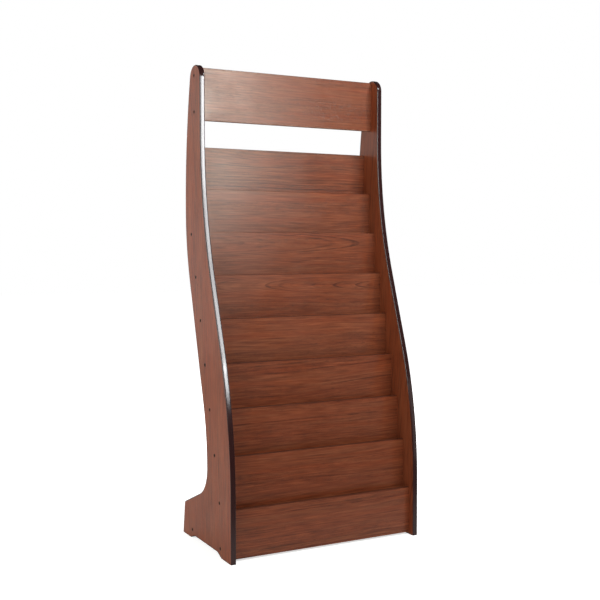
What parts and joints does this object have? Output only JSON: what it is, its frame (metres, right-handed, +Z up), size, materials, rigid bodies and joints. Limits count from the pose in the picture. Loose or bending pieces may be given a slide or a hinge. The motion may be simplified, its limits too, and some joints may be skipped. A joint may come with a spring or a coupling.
{
  "type": "periodical display rack",
  "caption": "Tall free-standing display rack with stepped full-width magazine pockets between two S-shaped woodgrain side panels.",
  "frame": {"origin": "middle of the width and depth at the floor, under the bounding box", "axes": "+X to the right seen from the front, +Y from the front to the rear, +Z up"},
  "size_m": [0.6, 0.357, 1.365],
  "materials": {
    "panel_woodgrain": "satin reddish walnut melamine, grain upright",
    "board_woodgrain": "satin reddish walnut melamine, grain along the board",
    "edge_strip": "satin brown edge strip, matched to the boards",
    "black_moulding": "glossy black domed edge moulding",
    "black_strip": "satin black flat strip under the feet",
    "dark_screw": "dark bronzed screw",
    "dowel_beech": "raw beech"
  },
  "bodies": {
    "root": {"side_panel_right": "panel_woodgrain", "side_panel_left": "panel_woodgrain", "edge_moulding_right": "black_moulding", "edge_moulding_left": "black_moulding", "foot_strip_right": "black_strip", "foot_strip_left": "black_strip", "panel_screws_right": "dark_screw", "panel_screws_left": "dark_screw", "board_dowels_right": "dowel_beech", "board_dowels_left": "dowel_beech", "header_board": "board_woodgrain", "header_top_strip": "edge_strip", "header_bottom_strip": "edge_strip", "pocket_board_1": "board_woodgrain", "pocket_board_strip_1": "edge_strip", "pocket_board_2": "board_woodgrain", "pocket_board_strip_2": "edge_strip", "pocket_board_3": "board_woodgrain", "pocket_board_strip_3": "edge_strip", "pocket_board_4": "board_woodgrain", "pocket_board_strip_4": "edge_strip", "pocket_board_5": "board_woodgrain", "pocket_board_strip_5": "edge_strip", "pocket_board_6": "board_woodgrain", "pocket_board_strip_6": "edge_strip", "pocket_board_7": "board_woodgrain", "pocket_board_strip_7": "edge_strip", "pocket_board_8": "board_woodgrain", "pocket_board_strip_8": "edge_strip", "pocket_board_9": "board_woodgrain", "pocket_board_strip_9": "edge_strip", "pocket_floor_1": "board_woodgrain", "pocket_floor_2": "board_woodgrain", "pocket_floor_3": "board_woodgrain", "pocket_floor_4": "board_woodgrain", "pocket_floor_5": "board_woodgrain", "pocket_floor_6": "board_woodgrain", "pocket_floor_7": "board_woodgrain", "base_board": "board_woodgrain", "base_rear_strip": "edge_strip", "floor_screws": "dark_screw", "base_screws": "dark_screw"}
  },
  "joints": []
}
